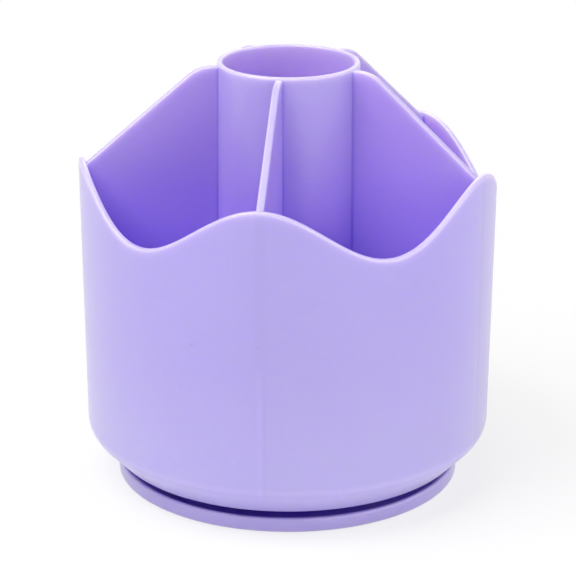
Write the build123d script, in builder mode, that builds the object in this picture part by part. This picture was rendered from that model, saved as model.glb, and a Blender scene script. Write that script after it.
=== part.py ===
from build123d import *
import os
from math import cos, pi, radians, sin, tan

# Rotating desk pen holder. A moulded drum with a wavy rim, five compartments and a tall centre
# tube turns on a ring of steel balls over a shallow round base. Lengths are in millimetres and
# angles in degrees. Z is the turning axis, the table is at z = 0, and one divider points to -Y.

# Drum wall and rim
drum_radius = 65.0          # outside of the wall at the top of a crest
wall_thickness = 1.7        # at the rim
outer_draft = 0.63          # the outside narrows downwards
inner_draft = 0.9           # the inside narrows a little faster, so the wall thickens downwards
crest_height = 97.6         # top of a crest above the drum's underside
wave_depth = 16.5           # crest to valley
rim_chamfer = 0.45
wave_points_per_crest = 8   # points of the rim curve on each wave

# Drum underside
sole_radius = 55.5          # edge of the flat underside
sole_chamfer = 0.6
bevel_height = 8.7          # corner between bevel and wall, before it is rounded
bevel_round = 7.0
floor_thickness = 2.0
bevel_thickness = 2.0

# Dividers
compartments = 5
first_divider = -90         # direction of the first divider, seen from above
divider_thickness = 2.0     # at the level top beside the tube
divider_draft = 0.25        # on each side
divider_step = 0.6          # top of a divider below the tube's rim
divider_drop = 1.95         # end of a divider's slope below the crest
shelf_length = 6.1          # level top beside the tube, before it is rounded into the slope
shelf_round = 12.0
divider_chamfer = 0.4

# Centre tube
tube_height = 126.0         # rim above the drum's underside
tube_radius = 22.0          # outside, at the rim
tube_wall = 1.8             # at the rim
tube_draft = 0.5
tube_chamfer = 0.5
tube_floor_cover = 1.0      # plastic over the end of the screw hole

# Base
base_radius = 54.5          # outside, at the bottom
base_draft = 1.5
base_plate = 2.0
lip_height = 4.4
lip_thickness = 1.8
lip_chamfer = 0.6
base_chamfer = 0.4
hub_wall = 3.0              # around the recess for the washer
hub_cap = 1.8               # hub plate that the washer holds down
hub_sleeve_wall = 2.4
hub_clearance = 0.5         # sleeve below the drum's underside
rib_count = 6
rib_thickness = 1.4

# Ball race
ball_count = 6
ball_diameter = 5.0
ball_circle = 40.0          # radius of the circle of ball centres
race_width = 8.0
race_rise = 0.85            # race rings above the base plate and below the drum
groove_depth = 0.7
groove_side_clearance = 0.3
race_clearance = 0.05
cage_width = 7.4
cage_thickness = 1.6
pocket_clearance = 0.1

# Pivot
boss_radius = 5.0
boss_clearance = 0.05
axial_play = 0.1
washer_radius = 9.0
washer_thickness = 0.8
washer_clearance = 0.2      # around the screw
recess_clearance = 1.5      # around the washer
screw_radius = 1.45
screw_length = 8.0
screw_tip = 1.2             # length of the tapered end
screw_point = 0.5           # radius of its blunt point
pilot_clearance = 0.02
pilot_spare = 0.5           # hole beyond the screw's tip
head_radius = 2.9
head_height = 1.7
head_chamfer = 0.7
head_clearance = 0.4        # head above the base's bottom edge
driver_width = 0.8
driver_span = 3.2
driver_depth = 1.0

# Feet
foot_count = 4
foot_width = 11.0
foot_thickness = 1.5
foot_proud = 0.5            # the base's bottom edge above the table
foot_clearance = 0.05
foot_circle = 44.0

# Heights above the table that follow from the sizes
plate_top = foot_proud + base_plate
ball_radius = ball_diameter / 2
ball_height = plate_top + race_rise - groove_depth + race_clearance + ball_radius
sole_height = ball_height + ball_radius + race_clearance - groove_depth + race_rise
floor_top = sole_height + floor_thickness
crest_top = sole_height + crest_height
tube_top = sole_height + tube_height
blank_top = crest_top + wave_depth / 2     # the wall before the wave is cut
hub_seat = foot_proud + head_clearance + head_height + washer_thickness + axial_play
boss_end = hub_seat - axial_play
head_seat = boss_end - washer_thickness
pilot_end = head_seat + screw_length + pilot_spare
tube_floor = pilot_end + tube_floor_cover


def outer_radius(height):
    """Outside of the drum wall at a height above the table."""
    return drum_radius - (crest_top - height) * tan(radians(outer_draft))


def inner_radius(height):
    """Inside of the drum wall at a height above the table."""
    return drum_radius - wall_thickness - (crest_top - height) * tan(radians(inner_draft))


# Radii that follow from the sizes
race_inside = ball_circle - race_width / 2
race_outside = ball_circle + race_width / 2
groove_reach = (ball_radius**2 - (ball_radius + race_clearance - groove_depth) ** 2) ** 0.5
groove_inside = ball_circle - groove_reach - groove_side_clearance
groove_outside = ball_circle + groove_reach + groove_side_clearance
hub_bore = boss_radius + boss_clearance
recess_radius = washer_radius + recess_clearance
hub_radius = recess_radius + hub_wall
pilot_radius = screw_radius + pilot_clearance
corner_height = sole_height + bevel_height
corner_radius = outer_radius(corner_height)
tube_foot_radius = tube_radius + tube_height * tan(radians(tube_draft))
bore_rim_radius = tube_radius - tube_wall
bore_foot_radius = bore_rim_radius - (tube_top - tube_floor) * tan(radians(tube_draft))

# The inside of the bevel runs parallel to its outside
bevel_run = Vector(corner_radius - sole_radius, bevel_height).normalized()
bevel_shift = Vector(-bevel_run.Y, bevel_run.X) * bevel_thickness
bevel_slope = bevel_run.Y / bevel_run.X
inner_floor_radius = sole_radius + bevel_shift.X + (floor_thickness - bevel_shift.Y) / bevel_slope
wall_slope = tan(radians(inner_draft))
inner_corner_radius = (
    inner_radius(floor_top) - wall_slope * bevel_slope * inner_floor_radius
) / (1 - wall_slope * bevel_slope)
inner_corner_height = floor_top + (inner_corner_radius - inner_floor_radius) * bevel_slope
inner_bevel_round = bevel_round - bevel_thickness


def wave_points(radius):
    """Points of the wavy rim at one radius, with a crest over each divider."""
    count = wave_points_per_crest * compartments
    for step in range(count):
        turn = 2 * pi * step / count
        angle = radians(first_divider) + turn
        drop = wave_depth / 2 * (1 - cos(compartments * turn))
        yield (radius * cos(angle), radius * sin(angle), crest_top - drop)


# One divider, drawn along +X: a tapered upright slab cut to the side view, which is level beside
# the tube, rounds over and slopes down to the crest of the wall
divider_top = tube_top - divider_step
divider_foot = floor_top - floor_thickness / 2
divider_start = tube_radius - tube_wall / 2
divider_end = drum_radius - wall_thickness / 2
divider_foot_thickness = divider_thickness + 2 * (divider_top - divider_foot) * tan(radians(divider_draft))
slope_end = crest_top - divider_drop
shelf_end = tube_radius + shelf_length
mid_corner_radius = (corner_radius + inner_corner_radius) / 2
mid_corner_height = (corner_height + inner_corner_height) / 2
mid_floor_radius = (sole_radius + inner_floor_radius) / 2

with BuildPart() as divider:
    with BuildSketch(Plane.YZ.offset(divider_start)):
        with BuildLine():
            Polyline(
                (-divider_foot_thickness / 2, divider_foot),
                (divider_foot_thickness / 2, divider_foot),
                (divider_thickness / 2, divider_top),
                (-divider_thickness / 2, divider_top),
                close=True,
            )
        make_face()
    extrude(amount=divider_end - divider_start)
    with BuildSketch(Plane.XZ) as side_view:
        with BuildLine():
            Polyline(
                (divider_start, divider_foot),
                (mid_floor_radius, divider_foot),
                (mid_corner_radius, mid_corner_height),
                (divider_end, slope_end),
                (shelf_end, divider_top),
                (divider_start, divider_top),
                close=True,
            )
        make_face()
        shelf_corner = side_view.vertices().sort_by_distance((shelf_end, divider_top))[0]
        fillet(shelf_corner, radius=shelf_round)
    extrude(amount=divider_foot_thickness, both=True, mode=Mode.INTERSECT)
    top_faces = divider.faces().filter_by(lambda face: face.normal_at().Z > bevel_run.X)
    long_edges = top_faces.edges().filter_by(Axis.Y, reverse=True)
    chamfer(long_edges, length=divider_chamfer)

# Ring above the wavy rim, which is cut away from the wall
with BuildLine() as wave_inside:
    Spline(*wave_points(tube_radius), periodic=True)
with BuildLine() as wave_outside:
    Spline(*wave_points(2 * drum_radius - tube_radius), periodic=True)
wave_surface = Face.make_surface_from_curves(wave_inside.edges()[0], wave_outside.edges()[0])

# Drum: wall, floor, dividers, centre tube, race ring and pivot boss in one moulding
with BuildPart() as drum:
    with BuildSketch(Plane.XZ) as outside:
        with BuildLine():
            Polyline(
                (0, sole_height),
                (sole_radius, sole_height),
                (corner_radius, corner_height),
                (outer_radius(blank_top), blank_top),
                (0, blank_top),
                close=True,
            )
        make_face()
        fillet(outside.vertices().sort_by_distance((corner_radius, corner_height))[0], radius=bevel_round)
        chamfer(outside.vertices().sort_by_distance((sole_radius, sole_height))[0], length=sole_chamfer)
    revolve(axis=Axis.Z)
    with BuildSketch(Plane.XZ) as inside:
        with BuildLine():
            Polyline(
                (0, floor_top),
                (inner_floor_radius, floor_top),
                (inner_corner_radius, inner_corner_height),
                (inner_radius(blank_top), blank_top),
                (0, blank_top),
                close=True,
            )
        make_face()
        inner_corner = (inner_corner_radius, inner_corner_height)
        fillet(inside.vertices().sort_by_distance(inner_corner)[0], radius=inner_bevel_round)
    revolve(axis=Axis.Z, mode=Mode.SUBTRACT)
    extrude(wave_surface, amount=2 * wave_depth, dir=(0, 0, 1), mode=Mode.SUBTRACT)
    rim_face = drum.faces().sort_by(Axis.Z)[-1]
    rim_edges = rim_face.edges().filter_by(lambda edge: edge.length > 2 * wall_thickness)
    chamfer(rim_edges, length=rim_chamfer)
    with PolarLocations(0, compartments, start_angle=first_divider):
        add(divider.part)
    with BuildSketch(Plane.XZ) as tube_section:
        with BuildLine():
            Polyline(
                (0, sole_height),
                (tube_foot_radius, sole_height),
                (tube_radius, tube_top),
                (bore_rim_radius, tube_top),
                (bore_foot_radius, tube_floor),
                (0, tube_floor),
                close=True,
            )
        make_face()
        chamfer(tube_section.vertices().group_by(Axis.Y)[-1], length=tube_chamfer)
    revolve(axis=Axis.Z)
    with BuildSketch(Plane.XY.offset(sole_height)):
        Circle(race_outside)
        Circle(race_inside, mode=Mode.SUBTRACT)
    extrude(amount=-race_rise)
    with BuildSketch(Plane.XY.offset(boss_end)):
        Circle(boss_radius)
    extrude(amount=sole_height - boss_end)
    with BuildSketch(Plane.XY.offset(boss_end)):
        Circle(pilot_radius)
    extrude(amount=pilot_end - boss_end, mode=Mode.SUBTRACT)
    with BuildSketch(Plane.XY.offset(sole_height - race_rise)):
        Circle(groove_outside)
        Circle(groove_inside, mode=Mode.SUBTRACT)
    extrude(amount=groove_depth, mode=Mode.SUBTRACT)

# Base: shallow dish with an upright lip, a race ring, and a hub raised around the pivot
lip_top = foot_proud + lip_height
lip_radius = base_radius - lip_height * tan(radians(base_draft))
inside_lip = lip_radius - lip_thickness
hub_cap_top = hub_seat + hub_cap
sleeve_radius = hub_bore + hub_sleeve_wall
sleeve_top = sole_height - hub_clearance
rib_start = hub_radius - hub_wall / 2
rib_end = race_inside + rib_thickness / 2

with BuildPart() as base:
    with BuildSketch(Plane.XZ) as base_section:
        with BuildLine():
            Polyline(
                (recess_radius, foot_proud),
                (base_radius, foot_proud),
                (lip_radius, lip_top),
                (inside_lip, lip_top),
                (inside_lip, plate_top),
                (race_outside, plate_top),
                (race_outside, plate_top + race_rise),
                (groove_outside, plate_top + race_rise),
                (groove_outside, plate_top + race_rise - groove_depth),
                (groove_inside, plate_top + race_rise - groove_depth),
                (groove_inside, plate_top + race_rise),
                (race_inside, plate_top + race_rise),
                (race_inside, plate_top),
                (hub_radius, plate_top),
                (hub_radius, hub_cap_top),
                (sleeve_radius, hub_cap_top),
                (sleeve_radius, sleeve_top),
                (hub_bore, sleeve_top),
                (hub_bore, hub_seat),
                (recess_radius, hub_seat),
                close=True,
            )
        make_face()
        bottom_corner = base_section.vertices().sort_by_distance((base_radius, foot_proud))[0]
        chamfer(bottom_corner, length=base_chamfer)
        lip_corners = base_section.vertices().filter_by_position(Axis.X, inside_lip, base_radius)
        chamfer(lip_corners.filter_by_position(Axis.Y, lip_top, lip_top), length=lip_chamfer)
    revolve(axis=Axis.Z)
    with BuildSketch(Plane.XY.offset(plate_top)):
        with PolarLocations((rib_start + rib_end) / 2, rib_count):
            Rectangle(rib_end - rib_start, rib_thickness)
    extrude(amount=race_rise)
    with BuildSketch(Plane.XY.offset(foot_proud)):
        with PolarLocations(foot_circle, foot_count, start_angle=180 / foot_count):
            Rectangle(foot_width + 2 * foot_clearance, foot_width + 2 * foot_clearance)
    extrude(amount=foot_thickness - foot_proud, mode=Mode.SUBTRACT)

# Cage: flat ring that keeps the balls apart
with BuildPart() as ball_cage:
    with BuildSketch(Plane.XY.offset(ball_height - cage_thickness / 2)):
        Circle(ball_circle + cage_width / 2)
        Circle(ball_circle - cage_width / 2, mode=Mode.SUBTRACT)
        with PolarLocations(ball_circle, ball_count):
            Circle(ball_radius + pocket_clearance, mode=Mode.SUBTRACT)
    extrude(amount=cage_thickness)

# Washer under the hub, clamped against the end of the pivot boss
with BuildPart() as pivot_washer:
    with BuildSketch(Plane.XY.offset(head_seat)):
        Circle(washer_radius)
        Circle(screw_radius + washer_clearance, mode=Mode.SUBTRACT)
    extrude(amount=washer_thickness)

# Pan-head screw driven up into the boss from below
with BuildPart() as pivot_screw:
    with BuildSketch(Plane.XZ) as screw_section:
        with BuildLine():
            Polyline(
                (0, head_seat - head_height),
                (head_radius, head_seat - head_height),
                (head_radius, head_seat),
                (screw_radius, head_seat),
                (screw_radius, head_seat + screw_length - screw_tip),
                (screw_point, head_seat + screw_length),
                (0, head_seat + screw_length),
                close=True,
            )
        make_face()
        head_corner = screw_section.vertices().sort_by_distance((head_radius, head_seat - head_height))[0]
        chamfer(head_corner, length=head_chamfer)
    revolve(axis=Axis.Z)
    with BuildSketch(Plane.XY.offset(head_seat - head_height)):
        Rectangle(driver_span, driver_width)
        Rectangle(driver_width, driver_span)
    extrude(amount=driver_depth, mode=Mode.SUBTRACT)

os.makedirs("parts", exist_ok=True)
for name, piece in (
    ("drum", drum),
    ("base", base),
    ("ball_cage", ball_cage),
    ("pivot_washer", pivot_washer),
    ("pivot_screw", pivot_screw),
):
    piece.part.label = name
    export_step(piece.part, f"parts/{name}.step")

# Steel balls, one in each pocket of the cage
for number in range(1, ball_count + 1):
    angle = 2 * pi * (number - 1) / ball_count
    with BuildPart() as bearing_ball:
        with Locations((ball_circle * cos(angle), ball_circle * sin(angle), ball_height)):
            Sphere(ball_radius)
    bearing_ball.part.label = f"bearing_ball_{number:02d}"
    export_step(bearing_ball.part, f"parts/bearing_ball_{number:02d}.step")

# Square non-slip pads set into the underside of the base, each turned to face the axis
for number in range(1, foot_count + 1):
    turn = 360 * (number - 0.5) / foot_count
    with BuildPart() as foot:
        with BuildSketch(Plane.XY.rotated((0, 0, turn))):
            with Locations((foot_circle, 0)):
                Rectangle(foot_width, foot_width)
        extrude(amount=foot_thickness)
    foot.part.label = f"foot_{number}"
    export_step(foot.part, f"parts/foot_{number}.step")
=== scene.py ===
from math import acos, asin, atan2, cos, exp, hypot, pi, radians, sin, sqrt, tan

import bmesh
import bpy
from mathutils import Matrix, Quaternion, Vector


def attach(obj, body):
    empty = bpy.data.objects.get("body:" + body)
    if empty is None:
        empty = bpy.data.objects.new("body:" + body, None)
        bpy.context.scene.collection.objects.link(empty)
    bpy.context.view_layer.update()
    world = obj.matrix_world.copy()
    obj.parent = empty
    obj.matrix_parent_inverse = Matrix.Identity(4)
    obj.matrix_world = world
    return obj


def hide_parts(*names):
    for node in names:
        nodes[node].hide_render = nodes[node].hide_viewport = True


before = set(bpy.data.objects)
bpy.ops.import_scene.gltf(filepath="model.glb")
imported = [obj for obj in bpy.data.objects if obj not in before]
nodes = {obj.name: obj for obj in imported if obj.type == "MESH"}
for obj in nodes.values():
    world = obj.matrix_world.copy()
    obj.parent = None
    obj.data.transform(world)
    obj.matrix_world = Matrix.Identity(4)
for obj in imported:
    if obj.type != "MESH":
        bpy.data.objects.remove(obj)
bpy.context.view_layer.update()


# Feet. Four square pads of dense grey foam rubber, die cut from sheet and stuck into shallow
# pockets under the base. The cutting leaves their edges a little soft.
def new_material(name):
    """An empty node material, its node tree and its plastic, rubber or metal shader."""
    material = bpy.data.materials.new(name)
    material.use_nodes = True
    tree = material.node_tree
    return material, tree, tree.nodes["Principled BSDF"]


def add_node(tree, kind, values=None, **settings):
    """A node with its settings, and its input sockets set or linked by name or number."""
    node = tree.nodes.new(kind)
    for key, value in settings.items():
        setattr(node, key, value)
    for key, value in (values or {}).items():
        if isinstance(value, bpy.types.NodeSocket):
            tree.links.new(value, node.inputs[key])
        else:
            node.inputs[key].default_value = value
    return node


def maths(tree, operation, first, second=0.0, third=0.0):
    """The result of a sum on values or sockets."""
    return add_node(tree, "ShaderNodeMath", {0: first, 1: second, 2: third}, operation=operation).outputs[0]


def new_group(name, inputs, outputs):
    """An empty shader node group, with its input and output nodes."""
    group = bpy.data.node_groups.new(name, "ShaderNodeTree")
    for label, kind, value in inputs:
        socket = group.interface.new_socket(label, in_out="INPUT", socket_type=kind)
        socket.default_value = value
    for label, kind in outputs:
        group.interface.new_socket(label, in_out="OUTPUT", socket_type=kind)
    return group, group.nodes.new("NodeGroupInput"), group.nodes.new("NodeGroupOutput")


# Surface grain shared by the mouldings and the pads: a fine dimpled skin with slow cloudy changes of tone
grain, grain_in, grain_out = new_group(
    "surface_grain",
    [
        ("Colour", "NodeSocketColor", (0.5, 0.5, 0.5, 1)),
        ("Grain Scale", "NodeSocketFloat", 2000),
        ("Cloud Scale", "NodeSocketFloat", 20),
        ("Cloud Depth", "NodeSocketFloat", 0.03),
        ("Roughness", "NodeSocketFloat", 0.5),
        ("Roughness Spread", "NodeSocketFloat", 0.06),
    ],
    [("Colour", "NodeSocketColor"), ("Roughness", "NodeSocketFloat"), ("Height", "NodeSocketFloat")],
)
place = add_node(grain, "ShaderNodeTexCoord").outputs["Object"]
fine = add_node(
    grain, "ShaderNodeTexNoise",
    {"Vector": place, "Scale": grain_in.outputs["Grain Scale"], "Detail": 3, "Roughness": 0.6},
)
cloud = add_node(
    grain, "ShaderNodeTexNoise",
    {"Vector": place, "Scale": grain_in.outputs["Cloud Scale"], "Detail": 4, "Roughness": 0.55},
)
cloud_offset = maths(grain, "SUBTRACT", cloud.outputs[0], 0.5)
cloud_tone = maths(grain, "MULTIPLY_ADD", cloud_offset, grain_in.outputs["Cloud Depth"], 1.0)
toned = add_node(
    grain, "ShaderNodeVectorMath", {0: grain_in.outputs["Colour"], "Scale": cloud_tone}, operation="SCALE",
)
fine_offset = maths(grain, "SUBTRACT", fine.outputs[0], 0.5)
rough = maths(
    grain, "MULTIPLY_ADD", fine_offset, grain_in.outputs["Roughness Spread"], grain_in.outputs["Roughness"],
)
grain.links.new(toned.outputs[0], grain_out.inputs["Colour"])
grain.links.new(rough, grain_out.inputs["Roughness"])
grain.links.new(fine.outputs[0], grain_out.inputs["Height"])


def grained(tree, colour, **values):
    """Places the surface grain in a material with its own colour and sizes."""
    node = add_node(tree, "ShaderNodeGroup", node_tree=grain)
    if isinstance(colour, bpy.types.NodeSocket):
        tree.links.new(colour, node.inputs["Colour"])
    else:
        node.inputs["Colour"].default_value = (*colour, 1)
    for key, value in values.items():
        node.inputs[key.replace("_", " ").title()].default_value = value
    return node


def cover(tree, shader, skin, height, strength, depth=0.0001):
    """Leads a skin's colour and roughness, and a height as small bumps, to a material's shader."""
    bump = add_node(tree, "ShaderNodeBump", {"Strength": strength, "Distance": depth, "Height": height})
    tree.links.new(skin.outputs["Colour"], shader.inputs["Base Color"])
    tree.links.new(skin.outputs["Roughness"], shader.inputs["Roughness"])
    tree.links.new(bump.outputs[0], shader.inputs["Normal"])


def dress(piece, material):
    """Gives a piece one material."""
    piece.data.materials.clear()
    piece.data.materials.append(material)


def join_points(piece):
    """Joins the points that lie on each other in a carried-over mesh."""
    weld = piece.modifiers.new("join_points", "WELD")
    weld.merge_threshold = 0.00001


pad_rubber, tree, shader = new_material("pad_rubber")
pad_skin = grained(
    tree, (0.085, 0.085, 0.095),
    grain_scale=1800, cloud_scale=120, cloud_depth=0.35, roughness=0.86, roughness_spread=0.1,
)
pad_cells = add_node(
    tree, "ShaderNodeTexVoronoi",
    {"Vector": add_node(tree, "ShaderNodeTexCoord").outputs["Object"], "Scale": 1500},
)
cover(tree, shader, pad_skin, pad_cells.outputs["Distance"], 0.5, 0.0002)
for number in range(1, 5):
    pad = nodes[f"foot_{number}"]
    dress(pad, pad_rubber)
    join_points(pad)
    soften = pad.modifiers.new("soft_edges", "BEVEL")
    soften.width = 0.0004
    soften.segments = 3


# Base. A shallow round dish moulded in the same lavender plastic, with an upright rounded lip, a
# raised ball race, ribs and a hub. Pockets underneath take the pads.
def rounded_outline(corners, steps=6):
    """Points (r, z) along an outline whose corners, given as (r, z, radius), are rounded."""
    points = []
    for place, (r, z, radius) in enumerate(corners):
        corner = Vector((r, z))
        if not radius:
            points.append((r, z))
            continue
        back = (Vector(corners[place - 1][:2]) - corner).normalized()
        on = (Vector(corners[(place + 1) % len(corners)][:2]) - corner).normalized()
        half = acos(max(-1, min(1, back.dot(on)))) / 2
        centre = corner + (back + on).normalized() * radius / sin(half)
        start = corner + back * radius / tan(half) - centre
        end = corner + on * radius / tan(half) - centre
        sweep = start.angle(end)
        cuts = steps if radius > 1 else 4
        for step in range(cuts + 1):
            share = step / cuts
            arm = (start * sin((1 - share) * sweep) + end * sin(share * sweep)) / sin(sweep)
            points.append(tuple(centre + arm))
    return points


def lay_grid(bm, rows, closed=False, marks=()):
    """Joins rows of points, given in millimetres, with four-sided faces. Marks give rows of layer values."""
    made = [[bm.verts.new(Vector(point) * 0.001) for point in row] for row in rows]
    for layer, values in marks:
        for row, row_values in zip(made, values):
            for vert, value in zip(row, row_values):
                vert[layer] = value
    for upper, lower in zip(made, made[1:]):
        for here in range(len(upper) if closed else len(upper) - 1):
            there = (here + 1) % len(upper)
            bm.faces.new((upper[here], upper[there], lower[there], lower[here]))


def mesh_object(name, bm, sharp):
    """Closes up a built mesh, shades it smooth apart from edges sharper than an angle, and shows it."""
    bmesh.ops.remove_doubles(bm, verts=bm.verts, dist=0.000002)
    bmesh.ops.recalc_face_normals(bm, faces=bm.faces)
    mesh = bpy.data.meshes.new(name)
    bm.to_mesh(mesh)
    bm.free()
    mesh.shade_smooth()
    mesh.set_sharp_from_angle(angle=radians(sharp))
    made = bpy.data.objects.new(name, mesh)
    bpy.context.scene.collection.objects.link(made)
    return made


def add_block(bm, low, high, turn):
    """A box between two corners in millimetres, turned about the axis by an angle in degrees."""
    made = bmesh.ops.create_cube(bm, size=1)["verts"]
    size = Vector(high) - Vector(low)
    middle = (Vector(high) + Vector(low)) / 2
    spin = Matrix.Rotation(radians(turn), 4, "Z")
    for vert in made:
        vert.co = spin @ (Vector(v * s for v, s in zip(vert.co, size)) + middle) * 0.001


base_side = 54.5
base_bottom = 0.5
lip_top = 4.9
lip_side = base_side - (lip_top - base_bottom) * tan(radians(1.5))
lip_inside = lip_side - 1.8
dish_floor = 2.5
race_side = 44.0
race_inside = 36.0
groove_side = 41.98
groove_inside = 38.02
race_top = 3.35
groove_bottom = 2.65
hub_side = 13.5
hub_top = 5.3
collar_side = 7.45
collar_top = 7.4
hub_bore = 5.05
recess_side = 10.5
recess_top = 3.5
base_outline = rounded_outline([
    (recess_side, base_bottom, 0.3),
    (base_side, base_bottom, 0.45),
    (lip_side, lip_top, 0.75),
    (lip_inside, lip_top, 0.75),
    (lip_inside, dish_floor, 0.5),
    (race_side, dish_floor, 0.2),
    (race_side, race_top, 0.2),
    (groove_side, race_top, 0.15),
    (groove_side, groove_bottom, 0.15),
    (groove_inside, groove_bottom, 0.15),
    (groove_inside, race_top, 0.15),
    (race_inside, race_top, 0.2),
    (race_inside, dish_floor, 0.2),
    (hub_side, dish_floor, 0.3),
    (hub_side, hub_top, 0.3),
    (collar_side, hub_top, 0.3),
    (collar_side, collar_top, 0.3),
    (hub_bore, collar_top, 0.2),
    (hub_bore, recess_top, 0.2),
    (recess_side, recess_top, 0.3),
])
base_columns = 288
base_turns = [2 * pi * column / base_columns for column in range(base_columns)]
bm = bmesh.new()
lay_grid(
    bm, [[(r * cos(t), r * sin(t), z) for t in base_turns] for r, z in base_outline + base_outline[:1]],
    closed=True,
)
base = mesh_object("base_shell", bm, 40)

# Six ribs run from the hub to the race, and four square pockets are let into the underside
rib_half = 0.7
rib_start = hub_side - 1
rib_end = race_inside + 0.7
rib_bottom = dish_floor - 0.3
rib_top = race_top - 0.01
pocket_middle = 44.0
pocket_half = 5.55
pocket_top = 1.5
bm = bmesh.new()
for rib in range(6):
    add_block(bm, (rib_start, -rib_half, rib_bottom), (rib_end, rib_half, rib_top), 60 * rib)
ribs = mesh_object("base_ribs", bm, 30)
bm = bmesh.new()
for pocket in range(4):
    add_block(
        bm, (pocket_middle - pocket_half, -pocket_half, -1.0),
        (pocket_middle + pocket_half, pocket_half, pocket_top), 45 + 90 * pocket,
    )
pockets = mesh_object("base_pockets", bm, 30)
for tool, operation in ((ribs, "UNION"), (pockets, "DIFFERENCE")):
    join = base.modifiers.new(tool.name, "BOOLEAN")
    join.object = tool
    join.operation = operation
    join.solver = "EXACT"
shaped = bpy.data.meshes.new_from_object(base.evaluated_get(bpy.context.evaluated_depsgraph_get()))
base.modifiers.clear()
base.data = shaped
for tool in (ribs, pockets):
    bpy.data.objects.remove(tool)
shaped.shade_smooth()
shaped.set_sharp_from_angle(angle=radians(40))

# Place round the turning axis: the angle in degrees, the distance from the axis and the height in millimetres
polar, _, polar_out = new_group(
    "round_the_axis", [],
    [("Angle", "NodeSocketFloat"), ("Radius", "NodeSocketFloat"), ("Height", "NodeSocketFloat")],
)
place = add_node(polar, "ShaderNodeTexCoord").outputs["Object"]
axes = add_node(polar, "ShaderNodeSeparateXYZ", {0: place})
turned = maths(polar, "ARCTAN2", axes.outputs["Y"], axes.outputs["X"])
level = add_node(polar, "ShaderNodeVectorMath", {0: place, 1: (1000, 1000, 0)}, operation="MULTIPLY")
reach = add_node(polar, "ShaderNodeVectorMath", {0: level.outputs[0]}, operation="LENGTH")
polar.links.new(maths(polar, "DEGREES", turned), polar_out.inputs["Angle"])
polar.links.new(reach.outputs["Value"], polar_out.inputs["Radius"])
polar.links.new(maths(polar, "MULTIPLY", axes.outputs["Z"], 1000), polar_out.inputs["Height"])


def tone_mix(tree, mask, plain, masked):
    """Mixes two colours, given as values or sockets, by a mask."""
    mix = add_node(tree, "ShaderNodeMix", {0: mask}, data_type="RGBA")
    for socket, colour in ((mix.inputs[6], plain), (mix.inputs[7], masked)):
        if isinstance(colour, bpy.types.NodeSocket):
            tree.links.new(colour, socket)
        else:
            socket.default_value = (*colour, 1)
    return mix.outputs[2]


def ramp(tree, value, low, high):
    """A mask that rises smoothly from 0 to 1 as a value goes from low to high."""
    node = add_node(
        tree, "ShaderNodeMapRange", {"Value": value, "From Min": low, "From Max": high},
        interpolation_type="SMOOTHSTEP",
    )
    return node.outputs[0]


def lit_through(shader):
    """Thin walls of this plastic let some light through and soften the light along their edges."""
    shader.inputs["Subsurface Weight"].default_value = 0.9
    shader.inputs["Subsurface Radius"].default_value = (1.0, 0.8, 1.4)
    shader.inputs["Subsurface Scale"].default_value = 0.0034
    shader.inputs["Coat Weight"].default_value = 0.8
    shader.inputs["Coat Roughness"].default_value = 0.3


# The dish is painted a deep indigo from the lip's top inwards, as painted shade under the drum
base_lavender = (0.475, 0.40, 0.84)
dish_painted_shade = (0.13, 0.05, 0.62)
base_plastic, tree, shader = new_material("base_lavender_plastic")
base_place = add_node(tree, "ShaderNodeGroup", node_tree=polar)
above = ramp(tree, base_place.outputs["Height"], base_bottom + 0.5, dish_floor - 0.4)
dish = ramp(tree, base_place.outputs["Radius"], lip_side - 0.4, lip_side - 2.0)
base_skin = grained(
    tree, tone_mix(tree, dish, base_lavender, tone_mix(tree, above, base_lavender, dish_painted_shade)),
    grain_scale=2600, cloud_scale=24, cloud_depth=0.05, roughness=0.44, roughness_spread=0.07,
)
cover(tree, shader, base_skin, base_skin.outputs["Height"], 0.1)
lit_through(shader)
dress(base, base_plastic)
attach(base, "stand")
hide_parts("base")


# Ball cage. A flat ring of natural white acetal with a round pocket for each ball, lying loose
# between base and drum and carried round by the balls.
cage_acetal, tree, shader = new_material("cage_acetal")
cage_skin = grained(
    tree, (0.72, 0.71, 0.66),
    grain_scale=1500, cloud_scale=60, cloud_depth=0.08, roughness=0.42, roughness_spread=0.08,
)
cover(tree, shader, cage_skin, cage_skin.outputs["Height"], 0.15)
shader.inputs["Subsurface Weight"].default_value = 0.05
dress(nodes["ball_cage"], cage_acetal)


# Balls. Ground and polished steel bearing balls with a thin film of grease. They sit in the cage's
# pockets, run in the base's groove and carry the drum.
ball_steel, tree, shader = new_material("ball_steel")
film = add_node(
    tree, "ShaderNodeTexNoise",
    {"Vector": add_node(tree, "ShaderNodeTexCoord").outputs["Object"], "Scale": 700, "Detail": 3},
)
polish = add_node(
    tree, "ShaderNodeMapRange",
    {"Value": film.outputs[0], "From Min": 0.3, "From Max": 0.7, "To Min": 0.08, "To Max": 0.2},
)
tint = add_node(tree, "ShaderNodeValToRGB", {"Fac": film.outputs[0]})
tint.color_ramp.elements[0].color = (0.60, 0.60, 0.62, 1)
tint.color_ramp.elements[1].color = (0.74, 0.74, 0.76, 1)
tree.links.new(tint.outputs[0], shader.inputs["Base Color"])
tree.links.new(polish.outputs[0], shader.inputs["Roughness"])
shader.inputs["Metallic"].default_value = 1
for number in range(1, 7):
    ball = nodes[f"bearing_ball_{number:02d}"]
    dress(ball, ball_steel)
    ball.data.shade_smooth()
    join_points(ball)


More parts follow.
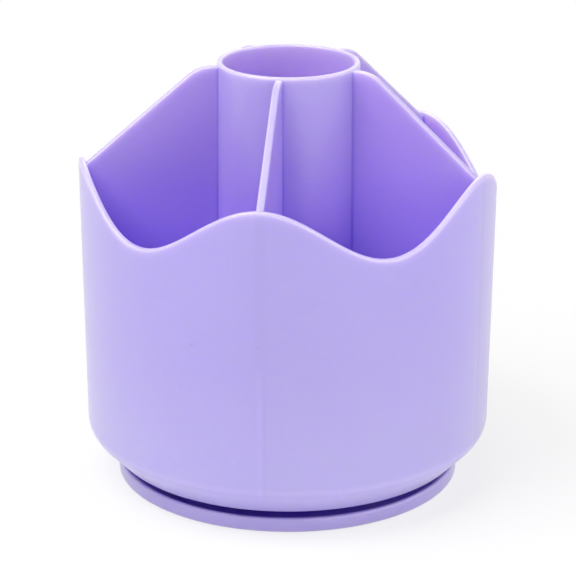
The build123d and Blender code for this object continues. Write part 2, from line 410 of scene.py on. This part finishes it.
# Drum. One lavender moulding: a tapered wall with a wavy rim, a bevelled underside, dividers that
# slope from the centre tube to the crests of the rim, and all edges rounded by the mould.
crests = 5
pitch = radians(360 / crests)
lean = pitch / 2
crest = 105.5
wave_half = 8.25
rim_outside = 65.0
rim_inside = 63.3
outer_taper = tan(radians(0.63))
inner_taper = tan(radians(0.9))
rim_round = 0.6
rim_inner_round = 0.35
rim_fall = 0.8
divider_level = 133.3
divider_top_half = 1.0
divider_taper = tan(radians(0.25))
divider_round = 0.45
tube_top = 133.9
tube_side = 22.0
bore_side = 20.2
tube_taper = tan(radians(0.5))
tube_round = 0.62
floor = 9.9
floor_round = 2.0
corner_round = 0.3
sole = 7.9
sole_edge = 55.5
bevel_rise = 8.7
bevel_wall = 2.0


def rim_height(turn):
    """Top of the wavy rim at an angle from the middle of a compartment."""
    return crest - wave_half * (1 + cos(crests * turn))


def outer_wall(z):
    """Distance of the wall's outside from the axis at a height."""
    return rim_outside - (crest - z) * outer_taper


def tube_outside(z):
    """Distance of the tube's outside from the axis at a height."""
    return tube_side + (tube_top - z) * tube_taper


def tube_bore(z):
    """Distance of the tube's inside from the axis at a height."""
    return bore_side - (tube_top - z) * tube_taper


def divider_half(z):
    """Half of a divider's thickness at a height."""
    return divider_top_half + (divider_level - z) * divider_taper


# A divider's top is level beside the tube, rounds over and slopes down to the wall
shelf_end = 28.1
shelf_round = 12.0
slope_end = 64.15
slope_foot = crest - 1.95
slope_fall = Vector((slope_end - shelf_end, slope_foot - divider_level)).normalized()
round_reach = shelf_round * tan(acos(slope_fall.x) / 2)


def divider_top(r):
    """Height of a divider's top at a distance from the axis."""
    if r < shelf_end - round_reach:
        return divider_level
    if r < shelf_end + round_reach * slope_fall.x:
        return divider_level - shelf_round + sqrt(shelf_round**2 - (r - shelf_end + round_reach) ** 2)
    return divider_level + (r - shelf_end) * slope_fall.y / slope_fall.x


# The inside of the wall meets the floor over a bevel parallel to the one outside
bevel_corner = Vector((outer_wall(sole + bevel_rise), sole + bevel_rise))
bevel_run = (bevel_corner - Vector((sole_edge, sole))).normalized()
bevel_slope = bevel_run.y / bevel_run.x
bevel_shift = Vector((-bevel_run.y, bevel_run.x)) * bevel_wall
inner_floor = sole_edge + bevel_shift.x + (floor - sole - bevel_shift.y) / bevel_slope
inner_corner = Vector((
    (rim_inside - (crest - floor) * inner_taper - inner_taper * bevel_slope * inner_floor)
    / (1 - inner_taper * bevel_slope),
    0,
))
inner_corner.y = floor + (inner_corner.x - inner_floor) * bevel_slope
up_wall = Vector((inner_taper, 1)).normalized()
half_corner = acos(up_wall.dot(-bevel_run)) / 2
inner_round = 5.0
inner_centre = inner_corner + (up_wall - bevel_run).normalized() * inner_round / sin(half_corner)
inner_reach = inner_round / tan(half_corner)


def inner_wall(z):
    """Distance of the wall's inside from the axis at a height."""
    if z > inner_corner.y + inner_reach * up_wall.y:
        return rim_inside - (crest - z) * inner_taper
    if z < inner_corner.y - inner_reach * bevel_run.y:
        return inner_floor + (z - floor) / bevel_slope
    return inner_centre.x + sqrt(inner_round**2 - (z - inner_centre.y) ** 2)


def beside_divider(r, off, side):
    """A point r out along a divider and off its middle plane, towards the compartment's middle."""
    return (r * cos(lean) + off * sin(lean), side * (r * sin(lean) - off * cos(lean)))


def compartment_point(part, share, side, z, inset=0.0):
    """A point of the compartment's level outline at one height: on its wall, divider, tube or a corner."""
    wall = inner_wall(z) - inset
    tube = tube_outside(z) + inset
    middle = divider_half(z) + inset + corner_round
    wall_end = sqrt((wall - corner_round) ** 2 - middle**2)
    tube_end = sqrt((tube + corner_round) ** 2 - middle**2)
    if part == "wall":
        turn = (2 * share - 1) * (lean - asin(middle / (wall - corner_round)))
        return wall * cos(turn), wall * sin(turn)
    if part == "tube":
        turn = (1 - 2 * share) * (lean - asin(middle / (tube + corner_round)))
        return tube * cos(turn), tube * sin(turn)
    if part == "divider":
        return beside_divider(wall_end + (tube_end - wall_end) * share, middle - corner_round, side)
    if part == "wall_corner":
        start = atan2(middle, wall_end)
        swing = start - (start + pi / 2) * share
        end = wall_end
    else:
        swing = -pi / 2 - (pi / 2 - atan2(middle, tube_end)) * share
        end = tube_end
    return beside_divider(end + corner_round * cos(swing), middle + corner_round * sin(swing), side)


def edge_height(part, share, side):
    """Height at which a compartment's side starts to round into the rim or the divider's top."""
    if part == "tube":
        return tube_top - tube_round
    if part.endswith("corner"):
        outer = "wall" if part == "wall_corner" else "divider"
        inner = "divider" if part == "wall_corner" else "tube"
        above = edge_height(outer, (1 + side) / 2 if outer == "wall" else 1, side)
        below = edge_height(inner, 0 if inner == "divider" else (1 - side) / 2, side)
        ease = share * share * (3 - 2 * share)
        return above + (below - above) * ease
    z = crest
    for _ in range(5):
        x, y = compartment_point(part, share, side, z)
        if part == "wall":
            z = rim_height(atan2(y, x)) - rim_inner_round
        else:
            z = divider_top(x * cos(lean) + side * y * sin(lean)) - divider_round
    return z


# Columns round one compartment, seen from above: along the wall, in along one divider, back along
# the tube and out along the other divider
wall_steps = 60
tube_steps = 22
divider_steps = 44
corner_steps = 4
inward = [("wall_corner", k / corner_steps) for k in range(corner_steps)]
inward += [("divider", k / divider_steps) for k in range(divider_steps)]
inward += [("tube_corner", k / corner_steps) for k in range(corner_steps + 1)]
columns = [("wall", k / wall_steps, 1) for k in range(1, wall_steps)]
columns += [(part, share, 1) for part, share in inward]
columns += [("tube", k / tube_steps, 1) for k in range(1, tube_steps)]
columns += [(part, share, -1) for part, share in reversed(inward)]

# A side is painted paler just under its edge, as painted light for the light that thin edges let through. The
# mesh's rows lie close together there, and three layers hold the painted paleness, how deep inside a point is
# (for painted inside shade) and how near a corner (for painted crease shade)
edge_drops = (0.0, 0.3, 0.7, 1.2, 1.9, 2.8, 4.0)
painted_light_by_part = {"wall": 0.8, "wall_corner": 0.7, "divider": 0.55, "tube_corner": 0.5, "tube": 0.5}
edge_reach = {"wall": 1.6, "wall_corner": 1.4, "divider": 1.1, "tube_corner": 0.9, "tube": 0.8}
edge_depth = {"wall": 1.0, "wall_corner": 1.0, "divider": 0.95, "tube_corner": 0.6, "tube": 0.3}
depth_reach = 70
side_foot = 24.0
side_rows = 14


def side_heights(top, low, steps):
    """Heights of the rows down a side, close together under its edge and then even."""
    start = top - edge_drops[-1]
    even = [start + (low - start) * k / steps for k in range(1, steps + 1)]
    return [top - drop for drop in edge_drops] + even


bm = bmesh.new()
edge_layer = bm.verts.layers.float.new("edge")
inside_layer = bm.verts.layers.float.new("inside")
corner_layer = bm.verts.layers.float.new("corner")
parts = [part for part, share, side in columns]
falls = [side_heights(edge_height(*column), side_foot, side_rows) for column in columns]
rows = []
painted_light_rows = []
depths = []
for heights in zip(*falls):
    rows.append([(*compartment_point(*column, z), z) for column, z in zip(columns, heights)])
    drops = [fall[0] - z for fall, z in zip(falls, heights)]
    painted_light_rows.append([painted_light_by_part[part] * exp(-drop / edge_reach[part]) for part, drop in zip(parts, drops)])
    depths.append([min(1.0, edge_depth[part] + drop / depth_reach) for part, drop in zip(parts, drops)])
foot_heights = (22.4, 21.2, 20.4, 19.6, 18.8, 18.0, 17.2, 16.4, 15.4)
foot_heights += (14.0, 12.8, 11.9, 11.2, 10.7, 10.35, 10.12, 9.97, floor)
for z in foot_heights:
    over = max(0.0, floor_round - (z - floor))
    inset = floor_round - sqrt(floor_round**2 - over**2)
    rows.append([(*compartment_point(*column, z, inset), z) for column in columns])
corners = [[float(part.endswith("corner")) for part in parts]] * (len(rows) - 1)
compartment_middle = 41.0
floor_middle = Vector((compartment_middle, 0.0, floor))
floor_edge = rows[-1]
for share in (0.85, 0.65, 0.42, 0.18, 0.0):
    rows.append([tuple(floor_middle + (Vector(point) - floor_middle) * share) for point in floor_edge])
depths += [[1.0] * len(columns)] * (len(rows) - len(depths))
lay_grid(
    bm, rows, closed=True,
    marks=[(edge_layer, painted_light_rows), (inside_layer, depths), (corner_layer, corners)],
)

# Rounded tops: quarter rounds from each side, as shares of the rounding's depth and height
round_steps = 6
round_turns = [pi / 2 * k / round_steps for k in range(round_steps + 1)]
quarter = [(1 - cos(turn), sin(turn)) for turn in round_turns]


def divider_ribbon(side):
    """Half of a divider's rounded top, from the compartment's edge to the divider's middle plane."""
    ribbon = []
    for part, share in inward:
        z = edge_height(part, share, side)
        x, y = compartment_point(part, share, side, z)
        r = x * cos(lean) + side * y * sin(lean)
        off = x * sin(lean) - side * y * cos(lean)
        middle_r = r
        if part == "wall_corner":
            divider_end = hypot(*compartment_point("divider", 0, side, z))
            middle_r = inner_wall(z) + (divider_end - inner_wall(z)) * share
        if part == "tube_corner" and share:
            divider_end = hypot(*compartment_point("divider", 1, side, z))
            middle_r = tube_outside(z) + (divider_end - tube_outside(z)) * (1 - share)
        top = max(z, divider_top(middle_r))
        line = [(off - divider_round * depth, z + (top - z) * lift) for depth, lift in quarter]
        line += [((off - divider_round) / 2, top), (0.0, top)]
        ribbon.append([
            (*beside_divider(middle_r + (r - middle_r) * (s / off) ** 2, s, side), height)
            for s, height in line
        ])
    return ribbon


right_ribbon = divider_ribbon(1)
left_ribbon = divider_ribbon(-1)
# Painted light: a divider's rounded top is painted pale at its lower edge, fading over the top
ribbon_edge = [painted_light_by_part["divider"] * (1 - lift) for depth, lift in quarter] + [0.0, 0.0]
for ribbon in (right_ribbon, left_ribbon):
    lay_grid(bm, ribbon, marks=[(edge_layer, [ribbon_edge] * len(ribbon))])


def arc_edge(part, steps):
    """The points between two dividers at which the wall or the tube starts to round over."""
    arc = []
    for k in range(1, steps):
        z = edge_height(part, k / steps, 1)
        arc.append((*compartment_point(part, k / steps, 1, z), z))
    return arc


def ring_rows(edge, top_of, far_radius, near_round, far_round, fall):
    """Rounded top of the wall or the tube, from its compartment edge across to its other side."""
    turns = [atan2(y, x) for x, y, z in edge]
    near = [hypot(x, y) for x, y, z in edge]
    sign = 1 if far_radius(top_of(0)) > near[len(near) // 2] else -1
    made = []
    for inset, lift in quarter:
        made.append([
            (r * cos(t), r * sin(t), z + (top_of(t) - z) * lift)
            for (x, y, z), r, t in zip(edge, [r + sign * near_round * inset for r in near], turns)
        ])
    for inset, lift in reversed(quarter):
        row = []
        for t in turns:
            z = top_of(t) - fall
            r = far_radius(z) - sign * far_round * inset
            row.append((r * cos(t), r * sin(t), z + fall * lift))
        made.append(row)
    return made, turns


wall_edge = left_ribbon[0][::-1] + arc_edge("wall", wall_steps) + right_ribbon[0]
rim_rows, wall_turns = ring_rows(wall_edge, rim_height, outer_wall, rim_inner_round, rim_round, rim_fall)
# Painted light: the rim's rounded top and the wall's outside just under it are painted pale
outside_rim_painted_light = 0.4
rim_edge = [painted_light_by_part["wall"] - 0.5 * lift**2 for inset, lift in quarter]
rim_edge += [outside_rim_painted_light - 0.35 * lift for inset, lift in reversed(quarter)]
lay_grid(bm, rim_rows, marks=[(edge_layer, [[pale] * len(wall_turns) for pale in rim_edge])])

tube_edge = right_ribbon[-1][::-1] + arc_edge("tube", tube_steps) + left_ribbon[-1]
tube_rows, tube_turns = ring_rows(
    tube_edge, lambda turn: tube_top, tube_bore, tube_round, tube_round, tube_round,
)
# Painted light: the tube's rounded top and the bore just under it are painted pale
bore_rim_painted_light = 0.4
tube_rim_edge = [painted_light_by_part["tube"] * (1 - lift) for inset, lift in quarter]
tube_rim_edge += [bore_rim_painted_light * (1 - lift) for inset, lift in reversed(quarter)]
lay_grid(bm, tube_rows, marks=[(edge_layer, [[pale] * len(tube_turns) for pale in tube_rim_edge])])

# Outside of the wall, the bevel, the underside with its ball race, and the pivot boss
sink_depth = 0.05
sink_half = 1.5
sink_wall = 64.0
sink_bore = 20.0
outside_rows = 16
wall_foot = 28.0
race_foot = 7.05
groove_top = 7.75
boss_side = 5.0
boss_foot = 3.4
screw_hole = 1.47
screw_end = 11.1


def sink(turn, radius, depth):
    """Shallow hollow that the thick joint with a divider leaves in the opposite side as it cools."""
    across = (lean - abs(turn)) * radius
    return depth * exp(-((across / sink_half) ** 2))


rows = []
for heights in zip(*[side_heights(rim_height(t) - rim_fall, wall_foot, outside_rows) for t in wall_turns]):
    row = []
    for t, z in zip(wall_turns, heights):
        fade = min(1.0, (rim_height(t) - rim_fall - z) / 6)
        r = outer_wall(z) - fade * sink(t, sink_wall, sink_depth)
        row.append((r * cos(t), r * sin(t), z))
    rows.append(row)
underside = rounded_outline(
    [
        (outer_wall(wall_foot), wall_foot, 0),
        (bevel_corner.x, bevel_corner.y, 7.0),
        (sole_edge, sole, 0.6),
        (race_side, sole, 0.3),
        (race_side, race_foot, 0.2),
        (groove_side, race_foot, 0.15),
        (groove_side, groove_top, 0.15),
        (groove_inside, groove_top, 0.15),
        (groove_inside, race_foot, 0.15),
        (race_inside, race_foot, 0.2),
        (race_inside, sole, 0.3),
        (boss_side, sole, 0.4),
        (boss_side, boss_foot, 0.3),
        (screw_hole, boss_foot, 0),
        (screw_hole, screw_end, 0),
        (0.0, screw_end, 0),
    ],
    steps=10,
)
for r, z in underside[1:]:
    hollow = sink_depth * max(0.0, min(1.0, (z - sole - 2) / 8)) if r > sole_edge else 0.0
    reaches = [r - sink(t, sink_wall, hollow) for t in wall_turns]
    rows.append([(reach * cos(t), reach * sin(t), z) for t, reach in zip(wall_turns, reaches)])
# Painted light just under the rim on the wall's outside
outside_edge = [[outside_rim_painted_light * exp(-drop / 0.6)] * len(wall_turns) for drop in edge_drops]
lay_grid(bm, rows, marks=[(edge_layer, outside_edge)])

# Bore of the centre tube and its floor
bore_floor = 12.1
bore_foot = 16.0
bore_rows = 16
bore_depth = 0.35
bore_outline = [(tube_bore(z), z) for z in side_heights(tube_top - tube_round, bore_foot, bore_rows)]
bore_outline += rounded_outline([
    (tube_bore(bore_foot), bore_foot, 0),
    (tube_bore(bore_floor), bore_floor, floor_round),
    (6.0, bore_floor, 0),
    (0.0, bore_floor, 0),
])[1:]
rows = []
depths = []
for r, z in bore_outline:
    fade = max(0.0, min(1.0, (tube_top - tube_round - z) / 12, (z - bore_floor) / 2))
    reaches = [r + sink(t, sink_bore, sink_depth * fade) for t in tube_turns]
    rows.append([(reach * cos(t), reach * sin(t), z) for t, reach in zip(tube_turns, reaches)])
    depths.append([min(1.0, bore_depth + (tube_top - z) / depth_reach)] * len(tube_turns))
# Painted light just under the tube's top in the bore
bore_edge = [[bore_rim_painted_light * exp(-drop / 2)] * len(tube_turns) for drop in edge_drops]
lay_grid(bm, rows, marks=[(edge_layer, bore_edge), (inside_layer, depths)])

# The compartment is repeated round the axis, with one divider pointing to the front, and joined
# along the dividers' middle planes
front_turn = radians(-54)
sector = bm.verts[:] + bm.edges[:] + bm.faces[:]
bmesh.ops.rotate(bm, cent=(0, 0, 0), matrix=Matrix.Rotation(front_turn, 3, "Z"), verts=bm.verts)
for number in range(1, crests):
    copy = bmesh.ops.duplicate(bm, geom=sector)["geom"]
    bmesh.ops.rotate(
        bm, cent=(0, 0, 0), matrix=Matrix.Rotation(pitch * number, 3, "Z"),
        verts=[item for item in copy if isinstance(item, bmesh.types.BMVert)],
    )
drum = mesh_object("drum_moulding", bm, 35)

# Marks on the outside: over each divider the wall is painted a little darker higher up, and lower down it has
# a painted highlight streak with a painted shade line beside it, for the light on the shallow sink there;
# handling has left a few short scuffs
wall_per_degree = radians(64.5)
scuff, scuff_in, scuff_out = new_group(
    "scuff",
    [
        ("Angle", "NodeSocketFloat", 0), ("Height", "NodeSocketFloat", 0),
        ("At Angle", "NodeSocketFloat", 0), ("At Height", "NodeSocketFloat", 0),
        ("Length", "NodeSocketFloat", 2), ("Width", "NodeSocketFloat", 1), ("Tilt", "NodeSocketFloat", 0),
    ],
    [("Mask", "NodeSocketFloat")],
)
aside = maths(scuff, "SUBTRACT", scuff_in.outputs["Angle"], scuff_in.outputs["At Angle"])
above = maths(scuff, "SUBTRACT", scuff_in.outputs["Height"], scuff_in.outputs["At Height"])
flat = add_node(
    scuff, "ShaderNodeCombineXYZ", {"X": maths(scuff, "MULTIPLY", aside, wall_per_degree), "Y": above},
)
tilted = add_node(
    scuff, "ShaderNodeVectorRotate",
    {"Vector": flat.outputs[0], "Angle": scuff_in.outputs["Tilt"]}, rotation_type="Z_AXIS",
)
size = add_node(
    scuff, "ShaderNodeCombineXYZ", {"X": scuff_in.outputs["Length"], "Y": scuff_in.outputs["Width"], "Z": 1},
)
shared = add_node(
    scuff, "ShaderNodeVectorMath", {0: tilted.outputs[0], 1: size.outputs[0]}, operation="DIVIDE",
)
far = add_node(scuff, "ShaderNodeVectorMath", {0: shared.outputs[0]}, operation="LENGTH")
broken = add_node(
    scuff, "ShaderNodeTexNoise",
    {"Vector": add_node(scuff, "ShaderNodeTexCoord").outputs["Object"], "Scale": 1400, "Detail": 2},
)
ragged = maths(scuff, "MULTIPLY_ADD", broken.outputs[0], 0.6, far.outputs["Value"])
scuff.links.new(ramp(scuff, ragged, 0.85, 0.45), scuff_out.inputs["Mask"])

drum_plastic, tree, shader = new_material("drum_lavender_plastic")
drum_place = add_node(tree, "ShaderNodeGroup", node_tree=polar)
angle = drum_place.outputs["Angle"]
radius = drum_place.outputs["Radius"]
height = drum_place.outputs["Height"]


def off_by(tree, value, centre):
    """How far a value is from a centre, to either side."""
    return maths(tree, "ABSOLUTE", maths(tree, "SUBTRACT", value, centre))


def streak(tree, across, centre, half):
    """A soft upright streak at a distance from the nearest divider's middle."""
    return ramp(tree, off_by(tree, across, centre), half, half * 0.4)


# Distance along the wall from the nearest divider's middle, in millimetres
front = -90
divider_step = 360 / crests
across = maths(tree, "ADD", angle, divider_step / 2 - front)
across = maths(tree, "FLOORED_MODULO", across, divider_step)
across = maths(tree, "MULTIPLY", maths(tree, "SUBTRACT", across, divider_step / 2), wall_per_degree)
upper = ramp(tree, height, 52, 62)
lower = ramp(tree, height, 60, 50)
sink_painted_shade = maths(tree, "MULTIPLY", streak(tree, across, 0.4, 2.2), upper)
sink_painted_highlight = maths(tree, "MULTIPLY", streak(tree, across, 0.1, 1.3), lower)
sink_painted_shade_line = maths(tree, "MULTIPLY", streak(tree, across, 1.5, 0.9), lower)
tone = maths(tree, "MULTIPLY_ADD", sink_painted_shade, -0.025, 1.0)
tone = maths(tree, "MULTIPLY_ADD", sink_painted_highlight, 0.035, tone)
tone = maths(tree, "MULTIPLY_ADD", sink_painted_shade_line, -0.03, tone)
for at_angle, at_height, length, width, tilt, depth in (
    (-117.0, 52.3, 1.6, 1.1, 30, 0.09),
    (-112.3, 48.6, 1.1, 0.4, 65, 0.25),
    (-108.4, 62.8, 2.0, 1.0, 10, 0.10),
    (-107.9, 54.6, 0.7, 0.6, 0, 0.10),
    (-90.5, 64.1, 0.7, 0.6, 20, 0.14),
    (-98.0, 88.2, 0.8, 0.5, 40, 0.08),
    (-103.8, 80.1, 0.6, 0.5, 0, 0.08),
    (-71.3, 28.2, 1.8, 0.4, 125, 0.08),
    (-81.3, 17.5, 0.5, 0.4, 0, 0.12),
    (38.0, 46.0, 1.9, 0.5, 35, 0.12),
    (95.0, 71.0, 1.2, 0.8, 80, 0.10),
    (164.0, 38.0, 1.5, 0.4, 150, 0.12),
):
    mark = add_node(
        tree, "ShaderNodeGroup",
        {
            "Angle": angle, "Height": height, "At Angle": at_angle, "At Height": at_height,
            "Length": length, "Width": width, "Tilt": radians(tilt),
        },
        node_tree=scuff,
    )
    tone = maths(tree, "MULTIPLY_ADD", mark.outputs["Mask"], -depth, tone)
outside = ramp(tree, radius, 60, 63)
wall_tone = maths(tree, "MULTIPLY_ADD", maths(tree, "SUBTRACT", tone, 1), outside, 1)

# The wall is painted paler towards its foot, as painted light from the floor, with a painted highlight round
# the corner above the bevel, and the bevel itself is painted a little darker, as painted shade
lavender = (0.463, 0.395, 0.78)
foot_painted_floor_light = (0.485, 0.428, 0.80)
bevel_painted_shade = (0.45, 0.385, 0.775)
corner_painted_highlight = (0.52, 0.455, 0.83)
corner_highlight_height = 17.5
coloured = tone_mix(tree, ramp(tree, height, 60, 20), lavender, foot_painted_floor_light)
coloured = tone_mix(tree, ramp(tree, height, 16.8, 15.8), coloured, bevel_painted_shade)
corner_highlight_band = ramp(tree, off_by(tree, height, corner_highlight_height), 1.3, 0.4)
coloured = tone_mix(tree, corner_highlight_band, coloured, corner_painted_highlight)
wall_colour = add_node(
    tree, "ShaderNodeVectorMath", {0: coloured, "Scale": wall_tone}, operation="SCALE",
).outputs[0]

# The top of the front divider is painted a little darker than the others, as painted shade. Shell is the
# distance from the axis brought to the height of the crests, so that the wall's inside lies at one value of
# it
front_top_painted_shade = (0.41, 0.355, 0.74)
shell = maths(tree, "MULTIPLY_ADD", maths(tree, "SUBTRACT", crest, height), inner_taper, radius)
front_top_with_painted_shade = tone_mix(tree, ramp(tree, off_by(tree, angle, front), 14, 8), wall_colour, front_top_painted_shade)
front_top_with_painted_shade = tone_mix(tree, ramp(tree, height, 90, 100), wall_colour, front_top_with_painted_shade)
front_top_with_painted_shade = tone_mix(tree, ramp(tree, shell, rim_inside - 0.7, rim_inside - 1.7), wall_colour, front_top_with_painted_shade)
open_faces = tone_mix(tree, ramp(tree, radius, tube_side + 1.5, tube_side + 3.5), wall_colour, front_top_with_painted_shade)

# Painted shade inside: the colour is painted deeper inside, as light that goes through more plastic would
# give. The wall's inside and the tube's bore are painted brighter, as a painted glow of light from their far
# side. Creases get painted shade and edges painted light
upper_inside_painted_shade = (0.445, 0.315, 0.78)
lower_inside_painted_shade = (0.475, 0.323, 0.975)
wall_inside_painted_glow = (0.54, 0.39, 1.0)
bore_painted_glow = (0.64, 0.40, 1.0)
crease_painted_shade = (0.31, 0.205, 0.74)
painted_edge_light = (0.82, 0.76, 0.98)
inside_colour = tone_mix(tree, ramp(tree, height, 120, 70), upper_inside_painted_shade, lower_inside_painted_shade)
at_wall = ramp(tree, shell, rim_inside - 1.2, rim_inside - 0.3)
inside_colour = tone_mix(tree, at_wall, inside_colour, wall_inside_painted_glow)
in_bore = ramp(tree, radius, bore_side + 1.4, bore_side + 0.4)
inside_colour = tone_mix(tree, in_bore, inside_colour, bore_painted_glow)
inside = add_node(tree, "ShaderNodeAttribute", attribute_name="inside")
faces = tone_mix(tree, inside.outputs["Fac"], open_faces, inside_colour)
corner = add_node(tree, "ShaderNodeAttribute", attribute_name="corner")
crease_shade_mask = maths(tree, "MULTIPLY", maths(tree, "POWER", corner.outputs["Fac"], 2), 0.6)
faces = tone_mix(tree, crease_shade_mask, faces, crease_painted_shade)
# Edges are painted pale, as painted light
edge = add_node(tree, "ShaderNodeAttribute", attribute_name="edge")
drum_skin = grained(
    tree, tone_mix(tree, edge.outputs["Fac"], faces, painted_edge_light),
    grain_scale=2600, cloud_scale=18, cloud_depth=0.05, roughness=0.44, roughness_spread=0.07,
)
cover(tree, shader, drum_skin, drum_skin.outputs["Height"], 0.1)
lit_through(shader)
dress(drum, drum_plastic)
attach(drum, "carousel")
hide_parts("drum")


# Washer and screw. A zinc-plated steel washer under the hub and a pan-head screw up into the
# drum's boss hold the drum down on its base.
plated_steel, tree, shader = new_material("plated_steel")
place = add_node(tree, "ShaderNodeTexCoord").outputs["Object"]
plating = add_node(
    tree, "ShaderNodeTexNoise", {"Vector": place, "Scale": 900, "Detail": 5, "Roughness": 0.65},
)
zinc = add_node(tree, "ShaderNodeValToRGB", {"Fac": plating.outputs[0]})
zinc.color_ramp.elements[0].position = 0.3
zinc.color_ramp.elements[0].color = (0.46, 0.47, 0.48, 1)
zinc.color_ramp.elements[1].position = 0.7
zinc.color_ramp.elements[1].color = (0.66, 0.66, 0.64, 1)
dull = add_node(
    tree, "ShaderNodeMapRange",
    {"Value": plating.outputs[0], "From Min": 0.3, "From Max": 0.7, "To Min": 0.42, "To Max": 0.26},
)
zinc_bump = add_node(
    tree, "ShaderNodeBump", {"Strength": 0.12, "Distance": 0.0001, "Height": plating.outputs[0]},
)
tree.links.new(zinc.outputs[0], shader.inputs["Base Color"])
tree.links.new(dull.outputs[0], shader.inputs["Roughness"])
tree.links.new(zinc_bump.outputs[0], shader.inputs["Normal"])
shader.inputs["Metallic"].default_value = 1
for name in ("pivot_washer", "pivot_screw"):
    dress(nodes[name], plated_steel)


# Camera, floor and light. A plain white studio: pale floor and surroundings, a large soft light high
# at the front left, one overhead at the left, and weaker ones at the right, the front and the back.
camera_place = (0.0914, -0.6933, 0.3081)
camera_tilt = radians(19.54)
camera_roll = radians(0.15)
camera_data = bpy.data.cameras.new("camera")
camera_data.sensor_width = 36
camera_data.lens = 146.27
camera = bpy.data.objects.new("camera", camera_data)
camera.location = camera_place
heading = Vector((-camera_place[0], -camera_place[1], 0)).normalized() * cos(camera_tilt)
look = Vector((heading.x, heading.y, -sin(camera_tilt)))
camera.rotation_mode = "QUATERNION"
camera.rotation_quaternion = look.to_track_quat("-Z", "Y") @ Quaternion((0, 0, 1), camera_roll)
bpy.context.scene.collection.objects.link(camera)
bpy.context.scene.camera = camera


def seen_directly(tree):
    """1 for what the camera sees, straight, in a reflection or through a clear piece, and else 0."""
    ray = add_node(tree, "ShaderNodeLightPath")
    straight = maths(tree, "MAXIMUM", ray.outputs["Is Camera Ray"], ray.outputs["Is Glossy Ray"])
    return maths(tree, "MAXIMUM", straight, ray.outputs["Is Transmission Ray"])


bm = bmesh.new()
bmesh.ops.create_grid(bm, x_segments=2, y_segments=2, size=4)
floor_mesh = bpy.data.meshes.new("studio_floor")
bm.to_mesh(floor_mesh)
bm.free()
floor_sheet = bpy.data.objects.new("studio_floor", floor_mesh)
bpy.context.scene.collection.objects.link(floor_sheet)
floor_paper = bpy.data.materials.new("floor_paper")
floor_paper.use_nodes = True
tree = floor_paper.node_tree
tree.nodes.clear()
place = add_node(tree, "ShaderNodeTexCoord").outputs["Object"]
away = add_node(tree, "ShaderNodeVectorMath", {0: place}, operation="LENGTH")
whiter = add_node(
    tree, "ShaderNodeMapRange",
    {"Value": away.outputs["Value"], "From Min": 0.06, "From Max": 0.3, "To Min": 0.75, "To Max": 1.0},
)
share = maths(tree, "MULTIPLY", seen_directly(tree), whiter.outputs[0])
paper = add_node(tree, "ShaderNodeBsdfDiffuse", {"Color": (0.9, 0.9, 0.9, 1)})
white = add_node(tree, "ShaderNodeEmission", {"Color": (1, 1, 1, 1), "Strength": 1.0})
mixed = add_node(tree, "ShaderNodeMixShader", {0: share, 1: paper.outputs[0], 2: white.outputs[0]})
add_node(tree, "ShaderNodeOutputMaterial", {"Surface": mixed.outputs[0]})
floor_mesh.materials.append(floor_paper)

world = bpy.data.worlds.new("studio")
bpy.context.scene.world = world
world.use_nodes = True
tree = world.node_tree
tree.nodes.clear()
level = add_node(tree, "ShaderNodeMapRange", {"Value": seen_directly(tree), "To Min": 0.03, "To Max": 1.0})
sky = add_node(tree, "ShaderNodeBackground", {"Color": (1, 1, 1, 1), "Strength": level.outputs[0]})
add_node(tree, "ShaderNodeOutputWorld", {"Surface": sky.outputs[0]})


object_middle = Vector((0, 0, 0.08))


def soft_light(name, place, size, power):
    """A square studio light at a place, turned to the middle of the object."""
    lamp = bpy.data.lights.new(name, "AREA")
    lamp.shape = "SQUARE"
    lamp.size = size
    lamp.energy = power
    light = bpy.data.objects.new(name, lamp)
    light.location = place
    light.rotation_mode = "QUATERNION"
    light.rotation_quaternion = (object_middle - Vector(place)).to_track_quat("-Z", "Y")
    bpy.context.scene.collection.objects.link(light)


soft_light("key_light", (-0.55, -0.45, 1.1), 0.9, 13.9)
soft_light("overhead_light", (-0.35, 0.1, 1.2), 1.0, 4.5)
soft_light("right_light", (1.1, -0.05, 0.65), 0.8, 4.8)
soft_light("back_light", (0.1, 1.2, 1.0), 0.8, 4)
soft_light("front_right_light", (0.9, -0.9, 0.35), 0.8, 4)
soft_light("front_light", (0.1, -1.3, 0.6), 0.8, 2.5)

bpy.context.scene.view_settings.view_transform = "Standard"
